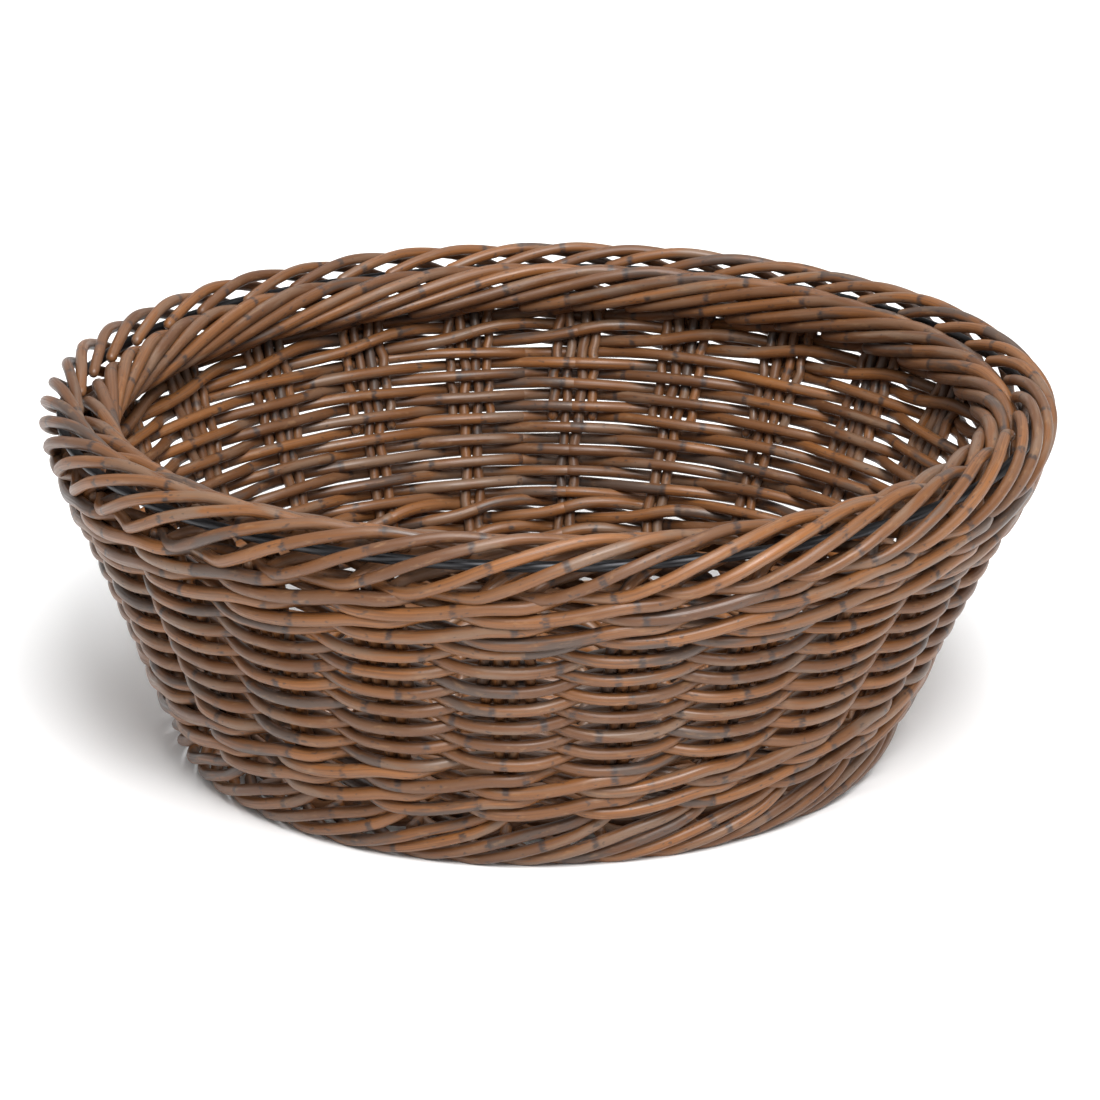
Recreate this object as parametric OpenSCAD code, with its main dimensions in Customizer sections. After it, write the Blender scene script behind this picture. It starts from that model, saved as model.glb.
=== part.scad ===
// Round woven bread basket: upright stakes in groups, plain weave between two bands of
// three-strand wale, a rolled foot, a rolled rim over a steel hoop, and a round stick base.

/* [Overall size] */
// Outer diameter of the rolled rim
rim_d = 400; // [340:1:480]
// Outer diameter of the rolled foot
foot_d = 296; // [250:1:350]
// Height from the standing face to the crest of the rim
height = 150; // [130:1:185]
// How far the foot sits to the left of the rim, as hand weaving leaves it
lean = 7; // [0:0.5:10]

/* [Strands] */
// Diameter of a stake and of the rim and foot strands
stake_d = 4.6; // [4:0.1:4.8]
// Diameter of a weaver
weaver_d = 4.2; // [3.5:0.1:4.4]
// Diameter of a base stick
stick_d = 4.6; // [3.8:0.1:5]
// Diameter of the steel hoop in the rim
hoop_d = 5; // [3:0.1:6]
// Clearance left between strands that cross
gap = 0.15; // [0.1:0.05:0.3]

/* [Weave] */
// Number of stake groups round the basket
groups = 24; // [24]
// How far the groups are turned clockwise, as a share of their spacing
group_turn = 0.25; // [0:0.05:1]
// Distance between neighbouring stakes of one group
stake_pitch = 6.6; // [6.2:0.1:7]
// How far down from the rim the outer two stakes of a group reach
bye_length = 48; // [30:1:60]
// Rounds of wale under the rim and over the foot
wale_rounds = 2; // [1:1:2]
// Radial thickness of a plain weaver
weaver_t = 3.4; // [3:0.1:3.6]

/* [Rim and foot rolls] */
// Height of the rolled rim
rim_h = 24; // [24]
// Height of the rolled foot
foot_h = 25; // [25:1:28]
// Height of the middle of the base above the standing face
base_z = 11.5; // [11.5:0.1:14]

/* [Hidden] */
step = 360 / groups;                          // angle from one stake group to the next
rim_z = height - rim_h;                       // where the stakes turn into the rim
rim_bow = 8.4;                                // how far out the rim strands bow past the stakes
rim_slack = 0.3;                              // room left for the corners of a strand
rim_r = rim_d / 2 - rim_bow - stake_d / 2 - rim_slack;   // stake centre line at rim_z
foot_inset = 14.4;                            // that line meets the floor this far inside the foot
foot_r = foot_d / 2 - foot_inset;
flare = atan((rim_r - foot_r) / rim_z);
crossing = (stake_d + weaver_d) / 2 / cos(flare) + gap;
swell = 0.9;                                  // extra reach that clears the outer stakes of a group
strip_rise = (weaver_d / 2) * tan(flare);     // how far a leaning stake moves over half a weaver
reach = (stake_d / 2) / cos(flare) + strip_rise + weaver_t / 2 + gap;
wale_reach = crossing + swell;
wale_pitch = 2 * weaver_d + 3 * gap;          // height of one round of wale
wale_h = wale_rounds * wale_pitch;
weave_z0 = foot_h + wale_h + weaver_d / 2;
weave_z1 = rim_z - wale_h - weaver_d / 2;
pairs = floor((weave_z1 - weave_z0) / (weaver_d + gap) / 2);
row_pitch = (weave_z1 - weave_z0) / (2 * pairs);
side_count = 6;                               // flats round a rim, foot or wale strand
rim_open = 20;                                // over this run the two strands of a group open out
foot_open = 14;
inner_spread = 0.25;                          // share of a step from a group's middle to its inner strands
hoop_up = 12;                                 // the hoop lies this far above the ends of the stakes
hoop_out = 1.3;
settle = 0.78;                                // a foot strand is pressed down to this share of its radius
rattan = [0.52, 0.38, 0.27];
rattan_dark = [0.42, 0.30, 0.22];
steel = [0.70, 0.71, 0.73];

function two(i) = i < 10 ? str("0", i) : str(i);
function group_name(i) = str("stake_group_", two(i));
function pair_name(i) = str("weave_pair_", two(i));

// Radius of the stake centre line at height z, and how far the lean has moved that level
function stake_r(z) = foot_r + (rim_r - foot_r) * z / rim_z;
function lean_at(z) = -lean * max(0, 1 - z / rim_z);
// A point from its angle round the basket, radius and height
function spot(q) = [q[1] * cos(q[0]) + lean_at(q[2]), q[1] * sin(q[0]), q[2]];
function unit(v) = v / norm(v);
// The angle that a distance round the basket makes at radius r
function turn(dist, r) = dist / r * 180 / PI;
// Angle of the middle of group i
function group_angle(i) = 90 + (i - 1 - group_turn) * step;

// Corners of one ring of a strand: its flats face up, down and sideways, and the underside stands on z = 0
function ring(p, along, out, d) =
    let (b = unit(cross(along, out)), n = cross(b, along))
    [for (k = [0:side_count - 1])
        let (c = p + d / 2 * (cos(k * 360 / side_count) * n + sin(k * 360 / side_count) * b))
        [c[0], c[1], max(0, c[2])]];

// One strand along a route of [angle, radius, height] points, closed on itself if looped
module strand(route, d, looped = false) {
    n = len(route);
    s = side_count;
    p = [for (q = route) spot(q)];
    before = function (i) looped ? (i + n - 1) % n : max(0, i - 1);
    after = function (i) looped ? (i + 1) % n : min(n - 1, i + 1);
    corners = [for (i = [0:n - 1])
        let (out = [cos(route[i][0]), sin(route[i][0]), 0])
        each ring(p[i], unit(p[after(i)] - p[before(i)]), out, d)];
    sides = [for (i = [0:looped ? n - 1 : n - 2], k = [0:s - 1])
        let (j = (i + 1) % n, m = (k + 1) % s)
        each [[i * s + k, j * s + k, j * s + m], [i * s + k, j * s + m, i * s + m]]];
    ends = looped ? [] : [[for (k = [0:s - 1]) k], [for (k = [s - 1:-1:0]) (n - 1) * s + k]];
    polyhedron(corners, concat(sides, ends), convexity = 6);
}

// A straight round rod between two points
module rod(from, to, d) {
    v = to - from;
    translate(from)
        rotate([0, acos(v[2] / norm(v)), atan2(v[1], v[0])])
            cylinder(d = d, h = norm(v), $fn = 32);
}

// One stake of a group, standing dist to the side of the group's middle
module stake(i, dist, z0) {
    foot = [group_angle(i) + turn(dist, stake_r(z0)), stake_r(z0), z0];
    head = [group_angle(i) + turn(dist, rim_r), rim_r, rim_z];
    rod(spot(foot), spot(head), stake_d);
}

// Two full-height stakes between two shorter ones pushed down from the rim
module stake_group(i) color(rattan_dark) {
    for (side = [-1, 1]) {
        stake(i, side * stake_pitch / 2, foot_h - 1);
        stake(i, side * stake_pitch * 1.5, rim_z - bye_length);
    }
}

// One plain weaver, out round every second group and in round the others
module weaver(row) {
    z = weave_z0 + (row - 0.5) * row_pitch;
    steps = 4 * groups;
    sway = [1, 1, 0, -1, -1, -1, 0, 1];
    function path(offset) = [for (k = [0:steps - 1])
        let (a = group_angle(1) + (k + 4 * row) * 360 / steps)
        (stake_r(z) + reach * sway[k % 8] + offset) * [cos(a), sin(a)]];
    translate([lean_at(z), 0, z - weaver_d / 2])
        linear_extrude(weaver_d)
            difference() {
                polygon(path(weaver_t / 2));
                polygon(path(-weaver_t / 2));
            }
}

// Two weavers that take turns, so that every stake group is held on both sides
module weave_pair(i) color(rattan) {
    weaver(2 * i - 1);
    weaver(2 * i);
}

// One wale strand: in behind one group, out over the next two, rising as it goes
module wale_strand(z, first) {
    bend = 0.22;
    slope = 0.35;
    sway = [[-bend, -1, 0.9], [bend, -1, -0.9], [1 - bend, 1, -1.05], [1 + slope, 1, -1.05],
            [2 - slope, 1, 1.05], [2 + bend, 1, 1.05]];
    rise = weaver_d / 2 + gap;
    strand([for (k = [0:3:groups - 1], w = sway)
        let (h = z + w[2] * rise)
        [group_angle(k + first) + w[0] * step, stake_r(h) + w[1] * wale_reach, h]],
        weaver_d - gap, looped = true);
}

module wale(z0) color(rattan)
    for (round = [0:wale_rounds - 1], first = [1:3])
        wale_strand(z0 + (round + 0.5) * wale_pitch, first);

// Rim and foot strands follow rows of how far on round the basket, how far out from the stake line and
// how far up from the stake's end. The two of a group open out until the whole roll is evenly spaced.
module rolled(profile, dist, spread, r0, z0, dir, open_over)
    for (i = [1:groups], side = [-1, 1])
        strand([for (q = profile)
            let (part = min(1, q[0] / open_over))
            [group_angle(i) + side * (turn(dist, r0) * (1 - part) + spread * part) + dir * turn(q[0], r0),
             r0 + q[1], z0 + q[2]]],
            stake_d);

// Out and up over the hoop, over the crest and down into the groove
module rim_roll_outer() color(rattan)
    rolled([[0, 0, 0], [10, 3.4, 2.8], [30, 7.6, 6.6], [53, rim_bow, 13], [73, 5.2, 19],
            [91, 0.5, 21.5], [109, -3.6, 19], [122, -5.1, 15]],
           stake_pitch / 2, step / 4, rim_r, rim_z, 1, rim_open);

// Up inside the hoop, over the lower inner crest and down the inner face
module rim_roll_inner() color(rattan_dark)
    rolled([[0, 0, 0], [5, -3.5, 3.6], [16.5, -6.5, 8], [33, -9, 13.2], [51, -13, 15.8],
            [70, -16.6, 13.8], [90, -18, 9.6], [110, -18, 5], [128, -16, 1]],
           stake_pitch * 1.5, step * inner_spread, rim_r, rim_z, 1, rim_open);

module rim_hoop() color(steel)
    translate([0, 0, rim_z + hoop_up])
        rotate_extrude($fn = 96)
            translate([rim_r + hoop_out, 0])
                circle(d = hoop_d, $fn = 24);

// Down and round the bottom edge, along the standing face and tucked up under the base
module foot_roll() color(rattan) {
    z0 = foot_h - 1;
    r0 = stake_r(z0);
    stand = stake_d / 2 * settle;
    rolled([[0, 0, 0], [6, 1, 20.2 - z0], [18, 0.9, 15.2 - z0], [33, -0.6, 9.4 - z0],
            [47, -3.2, 4.6 - z0], [59, -6, stand - z0], [73, -10, stand - z0], [85, -14, 5.5 - z0]],
           stake_pitch / 2, step / 4, r0, z0, -1, foot_open);
}

// The slath: half of the sticks cross under the other half, then all open out like spokes
slath = groups / 4;                           // sticks in each direction
knuckle = 1.12;                               // a stick swells this much where it bends
slath_pitch = stick_d * knuckle + gap;
slath_half = slath * slath_pitch / 2;
slath_level = slath_pitch / 2;                // the two sets lie this far above and below the middle
slath_hub = slath_half + stick_d;             // past here the sticks open out
stick_end = stake_r(base_z) - 1;
weave_margin = 13;                            // the outermost round of weave stops this far from the ends

module base_stick(j, level) {
    y = (j - (slath - 1) / 2) * slath_pitch;
    a = (j - (slath - 1) / 2) * step;
    rod([-slath_hub, y, level], [slath_hub, y, level], stick_d);
    for (side = [-1, 1]) {
        translate([side * slath_hub, y, level])
            cylinder(d = stick_d * knuckle, h = stick_d * knuckle, center = true, $fn = 32);
        rod([side * slath_hub, y, level], [side * stick_end * cos(a), stick_end * sin(a), 0], stick_d);
    }
}

module base_sticks(quarter, level) color(rattan_dark)
    translate([lean_at(base_z), 0, base_z])
        rotate(quarter + step / 2 + group_angle(1))
            for (j = [0:slath - 1])
                base_stick(j, level);

// Rounds of base weave, close against one side of the sticks
module base_weave(side) color(rattan)
    translate([lean_at(base_z), 0, base_z]) {
        pitch = weaver_d + gap;
        first = slath_half * 1.5 + weaver_d;
        for (r = [first:pitch:stick_end - weave_margin]) {
            slack = slath_level * (stick_end - r) / (stick_end - slath_hub);
            translate([0, 0, side * ((stick_d + weaver_d) / 2 + gap + slack)])
                rotate_extrude($fn = 96)
                    translate([r, 0])
                        circle(d = weaver_d, $fn = 24);
        }
    }

for (i = [1:groups])
    stake_group(i);
for (i = [1:pairs])
    weave_pair(i);
wale(rim_z - wale_h);  // top_wale
wale(foot_h);  // foot_wale
rim_roll_outer();
rim_roll_inner();
rim_hoop();
foot_roll();
base_sticks(0, -slath_level);  // base_sticks_lower
base_sticks(90, slath_level);  // base_sticks_upper
base_weave(-1);  // base_weave_lower
base_weave(1);  // base_weave_upper
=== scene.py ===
import math
import bpy
import numpy as np
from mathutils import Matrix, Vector


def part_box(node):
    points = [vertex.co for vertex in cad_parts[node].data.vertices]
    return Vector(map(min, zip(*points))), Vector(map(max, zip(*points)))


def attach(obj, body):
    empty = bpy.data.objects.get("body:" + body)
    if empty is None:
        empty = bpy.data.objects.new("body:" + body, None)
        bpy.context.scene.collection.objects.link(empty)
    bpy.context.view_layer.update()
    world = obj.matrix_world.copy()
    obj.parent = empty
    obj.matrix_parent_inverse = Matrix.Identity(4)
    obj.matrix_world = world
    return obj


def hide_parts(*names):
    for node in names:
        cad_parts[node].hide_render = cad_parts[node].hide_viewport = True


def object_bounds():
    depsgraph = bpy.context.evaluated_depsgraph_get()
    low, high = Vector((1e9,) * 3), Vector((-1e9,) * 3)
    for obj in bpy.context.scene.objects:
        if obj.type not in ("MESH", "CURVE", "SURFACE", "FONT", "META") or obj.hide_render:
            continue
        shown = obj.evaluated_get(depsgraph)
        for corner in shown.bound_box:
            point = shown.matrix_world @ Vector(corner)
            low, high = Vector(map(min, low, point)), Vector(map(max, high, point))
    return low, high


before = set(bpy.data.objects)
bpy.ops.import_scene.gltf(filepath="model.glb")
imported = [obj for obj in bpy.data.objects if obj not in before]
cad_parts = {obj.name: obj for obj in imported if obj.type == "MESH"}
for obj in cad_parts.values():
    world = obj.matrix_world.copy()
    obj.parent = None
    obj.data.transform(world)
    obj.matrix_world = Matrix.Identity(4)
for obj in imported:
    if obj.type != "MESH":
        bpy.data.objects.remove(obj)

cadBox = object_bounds()
lowest, highest = cadBox
footLow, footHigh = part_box("foot_roll")
nodeNames = sorted(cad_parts)

# The wall is a cone of upright stakes. Its foot sits a little to the left of its rim.
wall = {
    "rollHeight": 0.0235,                 # from where the stakes turn into the rim roll up to its crest
    "rollOverhang": 0.0105,               # how far the rim roll stands out past the stakes
    "footOverlap": 0.001,                 # how far the foot roll reaches up over the ends of the stakes
    "flare": 0.4397,                      # how far the wall goes out for each metre up
    "stakeThick": 0.0044,
    "weaverThick": 0.0048,
    "pitch": 0.0053,                      # from one stake of a group to the next
    "byeLength": 0.048,                   # how far down the two outer stakes of a group reach
}
stakeTop = highest.z - wall["rollHeight"]
stakeFoot = footHigh.z - wall["footOverlap"]
rimRadius = (highest.x - lowest.x) / 2 - wall["rollOverhang"]
lean = -(footLow.x + footHigh.x) / 2


# the cone: its radius shrinks by the flare for each metre below the rim
def stakeRadius(z):
    return rimRadius - wall["flare"] * (stakeTop - z)


# how far a level sits to the side: nothing at the rim, the whole lean at the floor
def leanAt(z):
    return -lean * np.maximum(0, 1 - z / stakeTop)


# a point at an angle in degrees, a radius and a height, moved by the lean of its level
def place(angle, radius, z):
    turn = np.radians(angle)
    return np.stack([radius * np.cos(turn) + leanAt(z), radius * np.sin(turn), z + 0 * turn], axis=-1)


def outwardAt(angle):
    turn = np.radians(angle)
    return np.stack([np.cos(turn), np.sin(turn), 0 * turn], axis=-1)


stakeNodes = [name for name in nodeNames if name.startswith("stake_group_")]
weaveNodes = [name for name in nodeNames if name.startswith("weave_pair_")]
groupCount = len(stakeNodes)
step = 360 / groupCount
firstLow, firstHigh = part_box(stakeNodes[0])
firstMiddle = (firstLow + firstHigh) / 2
firstAngle = math.degrees(math.atan2(firstMiddle.y, firstMiddle.x - leanAt(firstMiddle.z)))
wallNormal = (1 / math.hypot(1, wall["flare"]), -wall["flare"] / math.hypot(1, wall["flare"]))
chance = np.random.RandomState(24)
print("wall of", groupCount, "groups, first at", round(firstAngle, 2), "degrees")


# Cubic curve through key points: each span is a Hermite cubic whose end slopes are the mean slopes of its
# two neighbours, so the curve passes through every key and bends evenly
def throughKeys(keys, count):
    keys = np.asarray(keys, float)
    spans = np.linalg.norm(np.diff(keys, axis=0), axis=1)
    at = np.concatenate([[0], np.cumsum(spans)])
    slope = np.gradient(keys, at, axis=0)
    t = np.linspace(0, at[-1], count)
    i = np.clip(np.searchsorted(at, t, side="right") - 1, 0, len(keys) - 2)
    width = (at[i + 1] - at[i])[:, None]
    u = ((t - at[i]) / (at[i + 1] - at[i]))[:, None]
    return ((2 * u**3 - 3 * u**2 + 1) * keys[i] + (u**3 - 2 * u**2 + u) * width * slope[i]
            + (3 * u**2 - 2 * u**3) * keys[i + 1] + (u**3 - u**2) * width * slope[i + 1])


# A smooth wander for each strand: three slow sine waves with phases of their own, never past size in all
def wander(strands, count, size, waves):
    t = np.linspace(0, 2 * math.pi, count)
    total = np.zeros((strands, count))
    for k in range(3):
        phase = chance.uniform(0, 2 * math.pi, (strands, 1))
        total += np.sin((waves + k * 2) * t[None, :] + phase) / 3
    return total * size


# A strand is a circle carried along its path: the ring at each point stands square to the path, and both
# ends close with a dome of two smaller rings and a cap
def sweepStrands(paths, outward, thick, sides=10):
    strands, count = paths.shape[:2]
    grainSpread = 40                      # each strand's grain starts at random within so many metres
    tangent = np.gradient(paths, axis=1)
    tangent /= np.linalg.norm(tangent, axis=2, keepdims=True)
    across = np.cross(tangent, np.broadcast_to(outward, paths.shape))
    across /= np.linalg.norm(across, axis=2, keepdims=True)
    away = np.cross(across, tangent)
    radius = np.broadcast_to(np.asarray(thick) / 2, (strands, count))
    domes = np.radians([75, 40])

    def ends(values):
        return np.concatenate([np.repeat(values[:, :1], 2, 1), values,
                               np.repeat(values[:, -1:], 2, 1)], axis=1)

    shift = np.concatenate([-np.sin(domes), np.zeros(count), np.sin(domes[::-1])])
    shrink = np.concatenate([np.cos(domes), np.ones(count), np.cos(domes[::-1])])
    centre, along = ends(paths), ends(tangent)
    across, away, radius = ends(across), ends(away), ends(radius)
    centre = centre + along * (shift * radius)[..., None]
    radius = radius * shrink
    turn = np.arange(sides) * 2 * math.pi / sides
    circle = np.cos(turn)[:, None] * away[:, :, None, :] + np.sin(turn)[:, None] * across[:, :, None, :]
    points = centre[:, :, None, :] + circle * radius[:, :, None, None]
    rings = count + 4
    far = np.concatenate([np.zeros((strands, 1)),
                          np.cumsum(np.linalg.norm(np.diff(centre, axis=1), axis=2), axis=1)], axis=1)
    far = far + chance.uniform(0, grainSpread, (strands, 1))
    section = np.stack([np.broadcast_to(np.cos(turn), (strands, rings, sides)) * radius[..., None],
                        np.broadcast_to(np.sin(turn), (strands, rings, sides)) * radius[..., None],
                        np.broadcast_to(far[..., None], (strands, rings, sides))], axis=-1)
    tone = np.broadcast_to(chance.uniform(0, 1, (strands, 1, 1)), (strands, rings, sides))
    index = np.arange(strands * rings * sides).reshape(strands, rings, sides)
    here, there = index[:, :-1], index[:, 1:]
    quads = np.stack([here, np.roll(here, -1, 2), np.roll(there, -1, 2), there], axis=-1).reshape(-1, 4)
    caps = np.concatenate([index[:, 0, ::-1], index[:, -1]])
    return {"points": points.reshape(-1, 3), "section": section.reshape(-1, 3), "tone": tone.reshape(-1),
            "quads": quads, "caps": caps}


# joins batches of swept strands into one piece, which rides on the root body for the nodes it stands for
def makePiece(name, batches, material, nodes):
    points = np.concatenate([batch["points"] for batch in batches])
    section = np.concatenate([batch["section"] for batch in batches])
    tone = np.concatenate([batch["tone"] for batch in batches])
    loops, starts, begin, first = [], [], 0, 0
    for batch in batches:
        for faces in (batch["quads"], batch["caps"]):
            starts.append(begin + np.arange(len(faces)) * faces.shape[1])
            loops.append(faces.reshape(-1) + first)
            begin += faces.size
        first += len(batch["points"])
    loops, starts = np.concatenate(loops), np.concatenate(starts)
    mesh = bpy.data.meshes.new(name)
    mesh.vertices.add(len(points))
    mesh.vertices.foreach_set("co", points.astype(np.float32).ravel())
    mesh.loops.add(len(loops))
    mesh.loops.foreach_set("vertex_index", loops.astype(np.int32))
    mesh.polygons.add(len(starts))
    mesh.polygons.foreach_set("loop_start", starts.astype(np.int32))
    mesh.polygons.foreach_set("use_smooth", np.ones(len(starts), bool))
    mesh.update(calc_edges=True)
    mesh.attributes.new("strandPath", "FLOAT_VECTOR", "POINT").data.foreach_set(
        "vector", section.astype(np.float32).ravel())
    mesh.attributes.new("strandTone", "FLOAT", "POINT").data.foreach_set("value", tone.astype(np.float32))
    mesh.materials.append(material)
    piece = bpy.data.objects.new(name, mesh)
    bpy.context.scene.collection.objects.link(piece)
    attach(piece, "root")
    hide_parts(*nodes)


rattanLook = {
    "honey": (0.222, 0.085, 0.0235),
    "umber": (0.100, 0.040, 0.0150),
    "ash": (0.158, 0.093, 0.057),
    "slate": (0.030, 0.022, 0.021),
    "straw": (0.270, 0.150, 0.072),       # where the skin is worn through
    "cellLength": 0.045,                  # from one growth node of the cane to the next
    "cellUnevenness": 0.85,
    "streakWidth": 0.00065,
    "streakLength": 0.045,
    "speckSize": 0.0016,
    "patchPerMetre": (260.0, 42.0),       # grey patches, across and along the strand
    "wornPerMetre": (420.0, 150.0),
    "toneShare": 0.55,                    # how much of the warmth goes by the strand and not by the cell
    "streaks": 0.68, "darkCells": 0.65, "joints": 0.85, "specks": 0.6, "wear": 0.35,
    "roughness": (0.34, 0.52),
    "specular": 0.4, "coat": 0.10, "coatRoughness": 0.35,
    "bump": 0.5, "bumpDepth": 0.0004,
}


def addNode(tree, kind, **values):
    made = tree.nodes.new(kind)
    for key, value in values.items():
        if key in made.inputs:
            made.inputs[key].default_value = value
        else:
            setattr(made, key, value)
    return made


def mathNode(tree, operation, first, second):
    made = addNode(tree, "ShaderNodeMath", operation=operation)
    for socket, value in zip(made.inputs, (first, second)):
        if isinstance(value, (int, float)):
            socket.default_value = value
        else:
            tree.links.new(value, socket)
    return made.outputs[0]


# a soft step: below low gives toLow, above high gives toHigh
def stretch(tree, value, low, high, toLow=0.0, toHigh=1.0):
    made = addNode(tree, "ShaderNodeMapRange", interpolation_type="SMOOTHSTEP")
    tree.links.new(value, made.inputs["Value"])
    for name, number in (("From Min", low), ("From Max", high), ("To Min", toLow), ("To Max", toHigh)):
        made.inputs[name].default_value = number
    return made.outputs[0]


def mixColours(tree, share, first, second):
    made = addNode(tree, "ShaderNodeMix", data_type="RGBA")
    for socket, value in ((made.inputs[0], share), (made.inputs[6], first), (made.inputs[7], second)):
        if isinstance(value, (int, float)):
            socket.default_value = value
        elif isinstance(value, tuple):
            socket.default_value = (*value, 1)
        else:
            tree.links.new(value, socket)
    return made.outputs[2]


def noiseAt(tree, vector, detail=2.0, roughness=0.5):
    made = addNode(tree, "ShaderNodeTexNoise", Scale=1.0, Detail=detail, Roughness=roughness)
    tree.links.new(vector, made.inputs["Vector"])
    return made.outputs["Fac"]


# the strand's own coordinates at so many pattern cells to the metre across and along it
def scaled(tree, vector, across, along, shift=0.0):
    made = addNode(tree, "ShaderNodeMapping", vector_type="POINT")
    made.inputs["Scale"].default_value = (across, across, along)
    made.inputs["Location"].default_value = (shift, shift, shift)
    tree.links.new(vector, made.inputs["Vector"])
    return made.outputs[0]


# Grain of a peeled cane, worked out from the place along and round the strand: growth segments of differing
# colour with sharp ends, long fine streaks, small dark specks and grey patches
def caneGroup():
    tree = bpy.data.node_groups.new("caneGrain", "ShaderNodeTree")
    sockets = tree.interface
    sockets.new_socket("Path", in_out="INPUT", socket_type="NodeSocketVector")
    sockets.new_socket("Tone", in_out="INPUT", socket_type="NodeSocketFloat")
    sockets.new_socket("Color", in_out="OUTPUT", socket_type="NodeSocketColor")
    sockets.new_socket("Roughness", in_out="OUTPUT", socket_type="NodeSocketFloat")
    sockets.new_socket("Height", in_out="OUTPUT", socket_type="NodeSocketFloat")
    inside, outside = addNode(tree, "NodeGroupInput"), addNode(tree, "NodeGroupOutput")
    path, tone = inside.outputs["Path"], inside.outputs["Tone"]
    parts = addNode(tree, "ShaderNodeSeparateXYZ")
    tree.links.new(path, parts.inputs[0])
    along = parts.outputs["Z"]

    # growth segments: a one-way cell pattern along the strand, each cell with its own chance value
    look = rattanLook
    cells = addNode(tree, "ShaderNodeTexVoronoi", voronoi_dimensions="1D",
                    Randomness=look["cellUnevenness"], Scale=1 / look["cellLength"])
    tree.links.new(along, cells.inputs["W"])
    cellParts = addNode(tree, "ShaderNodeSeparateColor")
    tree.links.new(cells.outputs["Color"], cellParts.inputs[0])
    cellWarm, cellGrey = cellParts.outputs[0], cellParts.outputs[1]
    edges = addNode(tree, "ShaderNodeTexVoronoi", voronoi_dimensions="1D", feature="DISTANCE_TO_EDGE",
                    Randomness=look["cellUnevenness"], Scale=1 / look["cellLength"])
    tree.links.new(along, edges.inputs["W"])
    joint = stretch(tree, edges.outputs["Distance"], 0.012, 0.045, 1.0, 0.0)

    # each noise has a shift of its own, so that no two patterns line up
    streak = noiseAt(tree, scaled(tree, path, 1 / look["streakWidth"], 1 / look["streakLength"]), 3.0, 0.6)
    patch = noiseAt(tree, scaled(tree, path, *look["patchPerMetre"], 3.7), 2.0)
    speck = noiseAt(tree, scaled(tree, path, 1 / look["speckSize"], 0.55 / look["speckSize"], 9.1), 1.0)
    worn = noiseAt(tree, scaled(tree, path, *look["wornPerMetre"], 5.3), 3.0, 0.6)

    warm = mathNode(tree, "ADD", mathNode(tree, "MULTIPLY", tone, look["toneShare"]),
                    mathNode(tree, "MULTIPLY", cellWarm, 1 - look["toneShare"]))
    colour = mixColours(tree, stretch(tree, warm, 0.05, 0.95), look["umber"], look["honey"])
    streakShare = stretch(tree, streak, 0.40, 0.66, 0.0, look["streaks"])
    colour = mixColours(tree, streakShare, colour, look["umber"])
    greyShare = mathNode(tree, "MULTIPLY", stretch(tree, patch, 0.42, 0.62),
                         stretch(tree, cellGrey, 0.22, 0.78, 0.22, 0.95))
    colour = mixColours(tree, greyShare, colour, look["ash"])
    darkShare = mathNode(tree, "MULTIPLY", stretch(tree, cellGrey, 0.78, 0.86, 0.0, look["darkCells"]),
                         stretch(tree, patch, 0.40, 0.58, 0.15, 1.0))
    colour = mixColours(tree, darkShare, colour, look["slate"])
    jointShare = mathNode(tree, "MULTIPLY", joint, stretch(tree, worn, 0.38, 0.56, 0.0, look["joints"]))
    colour = mixColours(tree, jointShare, colour, look["slate"])
    colour = mixColours(tree, stretch(tree, speck, 0.66, 0.74, 0.0, look["specks"]), colour, look["slate"])
    colour = mixColours(tree, stretch(tree, worn, 0.56, 0.74, 0.0, look["wear"]), colour, look["straw"])
    tree.links.new(colour, outside.inputs["Color"])
    tree.links.new(stretch(tree, streak, 0.3, 0.7, *look["roughness"]), outside.inputs["Roughness"])

    # the skin stands up on the streaks and the wear, and sinks at the joints
    height = mathNode(tree, "ADD", mathNode(tree, "MULTIPLY", streak, 0.7),
                      mathNode(tree, "MULTIPLY", worn, 0.3))
    height = mathNode(tree, "SUBTRACT", height, mathNode(tree, "MULTIPLY", joint, 0.25))
    tree.links.new(height, outside.inputs["Height"])
    return tree


def rattanMaterial(name, grain):
    made = bpy.data.materials.new(name)
    made.use_nodes = True
    tree = made.node_tree
    shader = tree.nodes["Principled BSDF"]
    shader.inputs["Specular IOR Level"].default_value = rattanLook["specular"]
    shader.inputs["Coat Weight"].default_value = rattanLook["coat"]
    shader.inputs["Coat Roughness"].default_value = rattanLook["coatRoughness"]
    path = addNode(tree, "ShaderNodeAttribute", attribute_name="strandPath")
    tone = addNode(tree, "ShaderNodeAttribute", attribute_name="strandTone")
    cane = addNode(tree, "ShaderNodeGroup", node_tree=grain)
    tree.links.new(path.outputs["Vector"], cane.inputs["Path"])
    tree.links.new(tone.outputs["Fac"], cane.inputs["Tone"])
    bump = addNode(tree, "ShaderNodeBump", Strength=rattanLook["bump"], Distance=rattanLook["bumpDepth"])
    tree.links.new(cane.outputs["Height"], bump.inputs["Height"])
    tree.links.new(cane.outputs["Color"], shader.inputs["Base Color"])
    tree.links.new(cane.outputs["Roughness"], shader.inputs["Roughness"])
    tree.links.new(bump.outputs["Normal"], shader.inputs["Normal"])
    return made


# Both steel tones are far darker than bare steel. This is painted shade for the hoop, which lies in shadow
# under the rim roll and between its strands.
shadedSteelLook = {
    "dark": (0.035, 0.035, 0.038), "light": (0.075, 0.075, 0.079), "roughness": (0.42, 0.52),
    "brushedPerMetre": (900.0, 60.0),     # brush marks, across and along the wire
}


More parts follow.
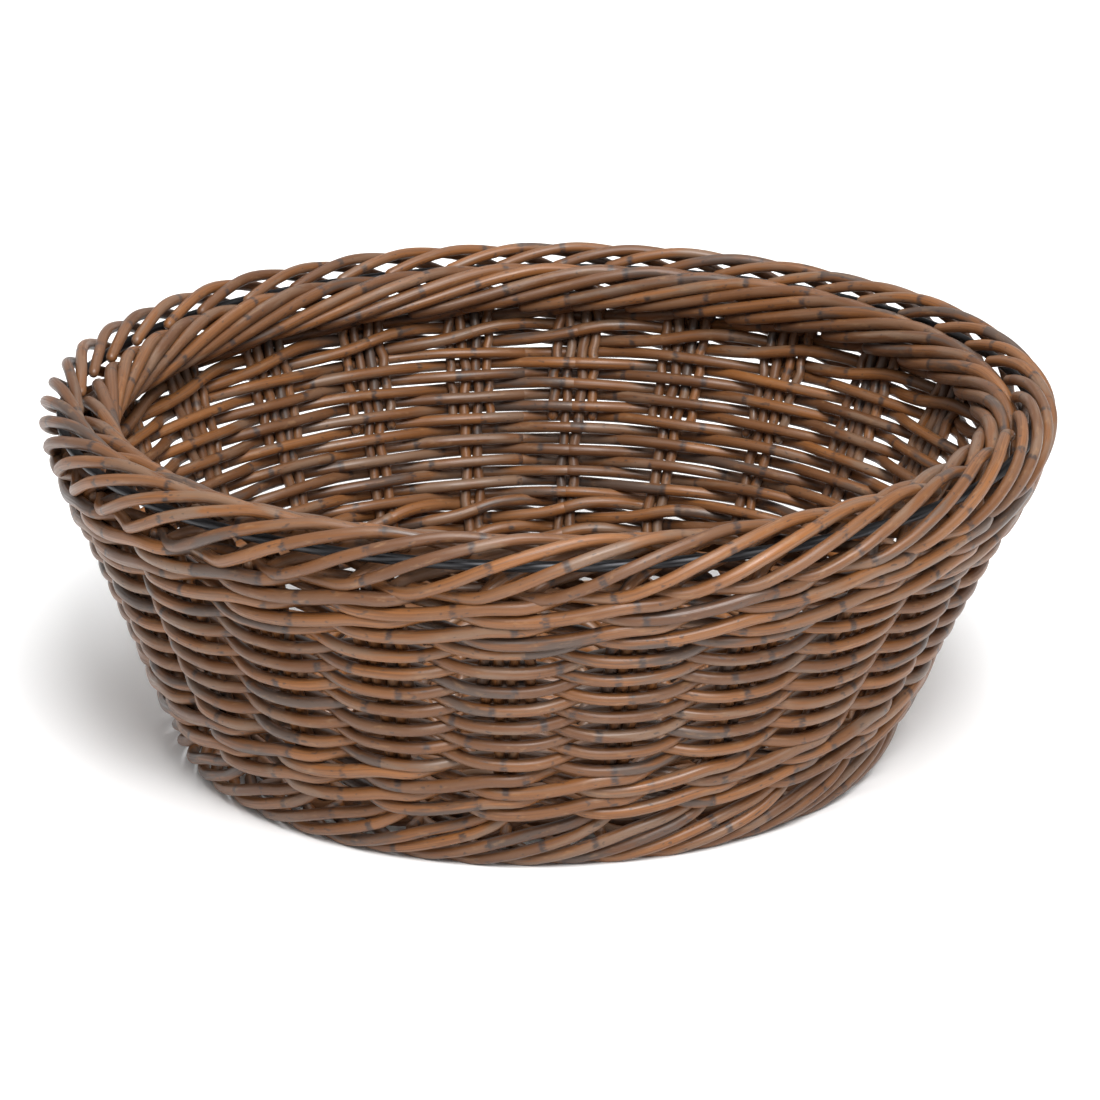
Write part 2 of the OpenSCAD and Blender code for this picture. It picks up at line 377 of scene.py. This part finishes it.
def steelMaterial(name):
    made = bpy.data.materials.new(name)
    made.use_nodes = True
    tree = made.node_tree
    shader = tree.nodes["Principled BSDF"]
    shader.inputs["Metallic"].default_value = 1.0
    path = addNode(tree, "ShaderNodeAttribute", attribute_name="strandPath")
    brushed = noiseAt(tree, scaled(tree, path.outputs["Vector"], *shadedSteelLook["brushedPerMetre"]), 2.0)
    # the brush marks mix two steel tones that are both darkened with painted shade
    colour = mixColours(tree, stretch(tree, brushed, 0.35, 0.65), shadedSteelLook["dark"], shadedSteelLook["light"])
    tree.links.new(colour, shader.inputs["Base Color"])
    tree.links.new(stretch(tree, brushed, 0.3, 0.7, *shadedSteelLook["roughness"]), shader.inputs["Roughness"])
    return made


cane = caneGroup()
rattan = rattanMaterial("rattan", cane)
steel = steelMaterial("hoopSteelPaintedShade")
print("materials made")


# places are in stake pitches from the middle of the group, and each has its share of the leaning
stakeLook = {
    "full": {"places": (-0.5, 0.5), "leaning": (0.2, 1.0)},
    "bye": {"places": (-1.5, 1.6), "leaning": (0.0, 0.3)},
    "bend": 0.0013, "thickSpread": 0.09, "points": 26,
    "leaning": 0.0036, "leanFrom": 0.032,     # how far a stake leans over, and from how far under the rim
}


# upright strands on the cone of the wall: full ones from foot to rim, bye stakes only under the rim
def stakeBatch(middle, kind, bottom):
    offsets = wall["pitch"] * np.asarray(kind["places"])[:, None]
    z = np.linspace(bottom, stakeTop, stakeLook["points"])[None, :]
    z = np.repeat(z, len(offsets), 0)
    radius = stakeRadius(z)
    slip = wander(*z.shape, stakeLook["bend"], 1)
    rise = np.clip(1 - (stakeTop - z) / stakeLook["leanFrom"], 0, 1)
    slip = slip + np.asarray(kind["leaning"])[:, None] * stakeLook["leaning"] * rise * rise
    angle = middle + np.degrees((offsets + slip) / radius)
    thick = wall["stakeThick"] * (1 + chance.uniform(-1, 1, (len(offsets), 1)) * stakeLook["thickSpread"])
    return sweepStrands(place(angle, radius, z), outwardAt(angle), thick * np.ones_like(z))


for number, node in enumerate(stakeNodes):
    middle = firstAngle + number * step
    full = stakeBatch(middle, stakeLook["full"], stakeFoot)
    byes = stakeBatch(middle, stakeLook["bye"], stakeTop - wall["byeLength"])
    makePiece("stakes_%02d" % (number + 1), [full, byes], rattan, [node])
print("stakes made")


weaveLook = {
    "sag": -0.0003, "bulge": 0.0047, "wander": 0.0007, "wanderWaves": 9,
    "thickSpread": 0.06, "thickWaves": 7, "perGroup": 16,
}
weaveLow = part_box(weaveNodes[0])[0].z
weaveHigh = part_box(weaveNodes[-1])[1].z
rowCount = 2 * len(weaveNodes)
rowPitch = (weaveHigh - weaveLow - wall["weaverThick"]) / (rowCount - 1)


# A weaver swings out over one group and in behind the next: out = bulge x c (1.35 - 0.35 c c), where c is
# the cosine of its place between two groups. It swings square to the wall. A sag below zero lifts it a
# little where it is outside and lowers it where it is inside.
def weaverPath(row):
    count = groupCount * weaveLook["perGroup"]
    angle = firstAngle + step * 0.5 * (row % 2) + np.linspace(0, 360, count + 1)[None, :]
    c = np.cos(np.radians((angle - firstAngle) * 180 / step)) * (1 if row % 2 else -1)
    swing = c * (1.35 - 0.35 * c * c)
    drift = wander(1, count + 1, weaveLook["wander"], weaveLook["wanderWaves"])
    level = weaveLow + wall["weaverThick"] / 2 + row * rowPitch + drift
    z = level + weaveLook["bulge"] * wallNormal[1] * swing - weaveLook["sag"] * swing
    radius = stakeRadius(level) + weaveLook["bulge"] * wallNormal[0] * swing
    return place(angle, radius, z), outwardAt(angle)


for number, node in enumerate(weaveNodes):
    batches = []
    for row in (2 * number, 2 * number + 1):
        path, outward = weaverPath(row)
        swell = wander(1, path.shape[1], weaveLook["thickSpread"], weaveLook["thickWaves"])
        thick = wall["weaverThick"] * (1 + swell)
        batches.append(sweepStrands(path, outward, thick))
    makePiece("weavers_%02d" % (number + 1), batches, rattan, [node])
print("plain weave made")


# each key is a place in groups, how far in or out, and how far up, as shares of the reach and of the rise
waleLook = {
    "keys": [(-0.28, -1, 0.75), (0.24, -1, -0.7), (0.52, -0.45, -1), (0.84, 0.85, -1), (1.15, 1.05, -0.9),
             (1.5, 1.1, -0.1), (1.85, 1.05, 0.95), (2.15, 0.85, 1), (2.46, -0.45, 1)],
    "strands": 3, "rounds": 2, "perGroup": 14,
    "reach": 0.0048, "rise": 0.0031, "wander": 0.0004, "wanderWaves": 4,
    "thick": 0.0053, "thickSpread": 0.06, "thickWaves": 6,
    "taller": 0.0038,                     # how much more height the rounds take up than their node
}


# one strand of a round: the keys repeat over three groups, and the next strand starts one group further on
def walePath(level, first):
    turns = groupCount // waleLook["strands"]
    keys = np.array([(k * waleLook["strands"] + at, out, up)
                     for k in range(-1, turns + 1) for at, out, up in waleLook["keys"]])
    metres = [math.radians(step) * rimRadius, waleLook["reach"], waleLook["rise"]]
    curve = throughKeys(keys * metres, 40 * len(keys)) / metres
    groups = np.linspace(0, groupCount, groupCount * waleLook["perGroup"] + 1)[None, :]
    out = np.interp(groups, curve[:, 0], curve[:, 1]) * waleLook["reach"]
    up = np.interp(groups, curve[:, 0], curve[:, 2]) * waleLook["rise"]
    angle = firstAngle + (groups + first) * step
    base = level + up + wander(1, angle.shape[1], waleLook["wander"], waleLook["wanderWaves"])
    radius = stakeRadius(base) + out * wallNormal[0]
    return place(angle, radius, base + out * wallNormal[1]), outwardAt(angle)


# below is the share of the added height that goes under the node
def makeWale(name, node, below):
    low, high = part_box(node)
    bottom = low.z - below * waleLook["taller"]
    pitch = (high.z - low.z + waleLook["taller"]) / waleLook["rounds"]
    batches = []
    for turn in range(waleLook["rounds"]):
        for first in range(waleLook["strands"]):
            path, outward = walePath(bottom + (turn + 0.5) * pitch, first)
            swell = wander(1, path.shape[1], waleLook["thickSpread"], waleLook["thickWaves"])
            batches.append(sweepStrands(path, outward, waleLook["thick"] * (1 + swell)))
    makePiece(name, batches, rattan, [node])


makeWale("waleUnderRim", "top_wale", 0.6)
makeWale("waleOverFoot", "foot_wale", 0.0)
print("wales made")


# each key is metres on from the stake, out from the stake line and up from the stake's end
rollLook = {
    "outer": [(-0.001, -0.0022, -0.005), (0.001, -0.0014, -0.0012), (0.006, -0.0020, 0.0004),
              (0.014, 0, 0.0002), (0.026, 0.0042, 0.0006), (0.039, 0.0073, 0.0058),
              (0.054, 0.0083, 0.013), (0.073, 0.0052, 0.019), (0.091, 0.0005, 0.0215),
              (0.109, -0.0036, 0.019), (0.122, -0.0051, 0.015)],
    "inner": [(-0.001, -0.0022, -0.005), (0, 0, 0), (0.005, -0.0035, 0.0036), (0.0165, -0.0065, 0.008),
              (0.033, -0.009, 0.0132), (0.051, -0.013, 0.0158), (0.070, -0.0166, 0.0138),
              (0.090, -0.018, 0.0096), (0.110, -0.018, 0.005), (0.128, -0.0155, 0.001),
              (0.138, -0.012, -0.001)],
    "foot": [(-0.001, 0.0022, 0.005), (0, 0, 0), (0.006, 0.001, -0.0038), (0.018, 0.0009, -0.0088),
             (0.033, -0.0006, -0.0146), (0.047, -0.0032, -0.0194), (0.059, -0.006, -0.0222),
             (0.073, -0.010, -0.0222), (0.085, -0.014, -0.0185)],
    "points": 48, "sides": 12, "thick": 0.0046, "innerThick": 0.0053, "thickSpread": 0.05,
    "openOver": 0.020,                    # the strands are evenly spaced from this far on
    "onSpread": 0.0017, "outSpread": 0.0004, "upSpread": 0.0004,
    "pressed": 0.97,                      # how much of its radius keeps a strand off the floor
}


# Two strands of each group follow the same keys. They start as far apart as their stakes stand and open out
# until all the strands of the roll are evenly spaced: turn = stand x (1 - opened) + spread x opened.
def rollBatch(keys, dist, spread, radius, top, way, caneThick):
    profile = throughKeys(keys, rollLook["points"])
    middles = firstAngle + np.arange(groupCount) * step
    sides = np.tile([-1.0, 1.0], groupCount)[:, None]
    middles = np.repeat(middles, 2)[:, None]
    strands = 2 * groupCount
    opened = np.clip(profile[:, 0] / rollLook["openOver"], 0, 1)[None, :]
    settle = np.clip(profile[:, 0] / rollLook["openOver"] - 0.5, 0, 1)[None, :]
    stand = math.degrees(dist / radius)

    def stray(size):
        return chance.uniform(-1, 1, (strands, 1)) * size * settle

    on = way * profile[None, :, 0] + stray(rollLook["onSpread"])
    angle = middles + sides * (stand * (1 - opened) + spread * opened) + np.degrees(on / radius)
    out = radius + profile[None, :, 1] + stray(rollLook["outSpread"])
    z = top + profile[None, :, 2] + stray(rollLook["upSpread"])
    thick = caneThick * (1 + chance.uniform(-1, 1, (strands, 1)) * rollLook["thickSpread"])
    z = np.maximum(z, thick / 2 * rollLook["pressed"])
    path = place(angle, out, z)
    return sweepStrands(path, outwardAt(angle), thick * np.ones_like(angle), rollLook["sides"])


footRadius = float(stakeRadius(stakeFoot))
outerRoll = rollBatch(rollLook["outer"], wall["pitch"] / 2, step / 4, rimRadius, stakeTop, 1,
                      rollLook["thick"])
innerRoll = rollBatch(rollLook["inner"], wall["pitch"] * 1.5, step / 4, rimRadius, stakeTop, 1,
                      rollLook["innerThick"])
footRoll = rollBatch(rollLook["foot"], wall["pitch"] / 2, step / 4, footRadius, stakeFoot, -1,
                     rollLook["thick"])
makePiece("rimRollOuter", [outerRoll], rattan, ["rim_roll_outer"])
makePiece("rimRollInner", [innerRoll], rattan, ["rim_roll_inner"])
makePiece("footRoll", [footRoll], rattan, ["foot_roll"])
print("rolls made")


hoopLook = {"share": 0.84, "points": 181, "sides": 12}    # the wire is a little thinner than its node
hoopLow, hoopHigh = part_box("rim_hoop")
hoopThick = hoopLook["share"] * (hoopHigh.z - hoopLow.z)
hoopAngle = np.linspace(0, 360, hoopLook["points"])[None, :]
hoopLevel = np.full_like(hoopAngle, (hoopLow.z + hoopHigh.z) / 2)
hoopPath = place(hoopAngle, (hoopHigh.x - hoopLow.x - hoopThick) / 2, hoopLevel)
hoop = sweepStrands(hoopPath, outwardAt(hoopAngle), np.full_like(hoopAngle, hoopThick), hoopLook["sides"])
makePiece("rimHoop", [hoop], steel, ["rim_hoop"])


baseLook = {
    "sticks": 6, "stickThick": 0.0046, "spacing": 0.0053, "points": 60,
    "stickEndHeight": 0.0115, "stickEndGap": 0.001,       # the sticks end this far short of the wall
    "roundPitch": 0.00435, "perGroup": 12, "sides": 8, "wander": 0.0003, "wanderWaves": 5,
    "firstRound": 0.0043, "lastRound": 0.0065,            # gaps from the crossing and from the stick ends
}
baseMiddle = (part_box("base_sticks_lower")[0].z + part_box("base_sticks_upper")[1].z) / 2
baseShift = Vector((float(leanAt(baseMiddle)), 0, baseMiddle))
stickReach = stakeRadius(baseLook["stickEndHeight"]) - baseLook["stickEndGap"]
crossing = baseLook["sticks"] * baseLook["spacing"] * 0.75


# Half of the sticks lie across the other half. Past the crossing they open out like spokes and come to one
# level: place = (1 - past) x place in the bundle + past x place on the ray of their own stake group.
def stickBatch(quarter, side):
    count = baseLook["sticks"]
    order = (np.arange(count) - (count - 1) / 2)[:, None]
    hub = count * baseLook["spacing"] / 2 + baseLook["stickThick"]
    run = np.linspace(-1, 1, baseLook["points"])[None, :] * stickReach
    past = np.maximum(0, np.abs(run) - hub) / (stickReach - hub)
    ray = np.radians(order * step)
    x = np.sign(run) * (np.minimum(np.abs(run), hub) + past * (stickReach * np.cos(ray) - hub))
    y = order * baseLook["spacing"] * (1 - past) + past * stickReach * np.sin(ray) + 0 * run
    z = side * baseLook["spacing"] / 2 * (1 - np.sqrt(past)) + 0 * order
    turn = math.radians(quarter + step / 2 + firstAngle)
    path = np.stack([x * math.cos(turn) - y * math.sin(turn), x * math.sin(turn) + y * math.cos(turn),
                     z + 0 * x], axis=-1) + np.array(baseShift)
    return sweepStrands(path, np.array([0.0, 0.0, 1.0]), np.full(x.shape, baseLook["stickThick"]))


# rounds of base weave go over one stick and under the next, every second round the other way about
def baseRound(number):
    count = groupCount * baseLook["perGroup"]
    radius = crossing + baseLook["firstRound"] + number * baseLook["roundPitch"]
    angle = np.linspace(0, 360, count + 1)[None, :] + firstAngle
    c = np.cos(np.radians((angle - firstAngle - step / 2) * 180 / step)) * (1 if number % 2 else -1)
    lift = (baseLook["stickThick"] + wall["weaverThick"]) / 2 * c * (1.3 - 0.3 * c * c)
    turn = np.radians(angle)
    wide = radius + wander(1, count + 1, baseLook["wander"], baseLook["wanderWaves"])
    path = np.stack([wide * np.cos(turn), wide * np.sin(turn), lift], axis=-1) + np.array(baseShift)
    thick = np.full_like(angle, wall["weaverThick"])
    return sweepStrands(path, outwardAt(angle), thick, baseLook["sides"])


makePiece("baseSticksUpper", [stickBatch(90, 1)], rattan, ["base_sticks_upper"])
makePiece("baseSticksLower", [stickBatch(0, -1)], rattan, ["base_sticks_lower"])
roundCount = int((stickReach - baseLook["lastRound"] - crossing) / baseLook["roundPitch"])
makePiece("baseWeaveUpper", [baseRound(k) for k in range(0, roundCount, 2)], rattan,
          ["base_weave_upper"])
makePiece("baseWeaveLower", [baseRound(k) for k in range(1, roundCount, 2)], rattan,
          ["base_weave_lower"])
print("base made")


studio = {
    "floorSize": 8.0, "floorColour": (0.93, 0.93, 0.93), "floorRoughness": 0.9, "worldStrength": 0.58,
    "softboxes": {                        # watts, size, place, what it points at, width of beam in degrees
        "frontSoftbox": (78.0, 1.0, (0.35, -1.7, 1.9), (0, 0, 0.08), 180),
        "topSoftbox": (16.0, 1.0, (0.1, -0.5, 1.9), (0, 0, 0.08), 180),
        "backSoftbox": (16.0, 2.0, (0, 2.2, 2.0), (0, 1.8, 0), 60),
    },
}


floorMaterial = bpy.data.materials.new("paleFloor")
floorMaterial.use_nodes = True
floorShader = floorMaterial.node_tree.nodes["Principled BSDF"]
floorShader.inputs["Base Color"].default_value = (*studio["floorColour"], 1)
floorShader.inputs["Roughness"].default_value = studio["floorRoughness"]
half = studio["floorSize"] / 2
floorMesh = bpy.data.meshes.new("floor")
corners = [(-half, -half, 0), (half, -half, 0), (half, half, 0), (-half, half, 0)]
floorMesh.from_pydata(corners, [], [(0, 1, 2, 3)])
floorMesh.materials.append(floorMaterial)
floor = bpy.data.objects.new("floor", floorMesh)
bpy.context.scene.collection.objects.link(floor)

world = bpy.data.worlds.new("studio")
world.use_nodes = True
world.node_tree.nodes["Background"].inputs["Color"].default_value = (1, 1, 1, 1)
world.node_tree.nodes["Background"].inputs["Strength"].default_value = studio["worldStrength"]
bpy.context.scene.world = world


def softbox(name, power, size, where, towards, beam):
    lamp = bpy.data.lights.new(name, "AREA")
    lamp.energy, lamp.size, lamp.spread = power, size, math.radians(beam)
    holder = bpy.data.objects.new(name, lamp)
    holder.location = where
    holder.rotation_euler = (Vector(towards) - Vector(where)).to_track_quat("-Z", "Y").to_euler()
    bpy.context.scene.collection.objects.link(holder)


for name, values in studio["softboxes"].items():
    softbox(name, *values)

shot = {
    "elevation": 19.9, "distance": 1.75, "lens": 143.4, "sensorWidth": 36.0,
    "target": (0, 0, 0.07), "aim": (0.0008, 0, 0.076),
}
rise = math.radians(shot["elevation"])
cameraData = bpy.data.cameras.new("camera")
cameraData.lens, cameraData.sensor_width = shot["lens"], shot["sensorWidth"]
camera = bpy.data.objects.new("camera", cameraData)
camera.location = Vector(shot["target"]) + shot["distance"] * Vector((0, -math.cos(rise), math.sin(rise)))
camera.rotation_euler = (Vector(shot["aim"]) - camera.location).to_track_quat("-Z", "Y").to_euler()
bpy.context.scene.collection.objects.link(camera)
bpy.context.scene.camera = camera
bpy.context.scene.view_settings.view_transform = "Standard"
print("studio made")
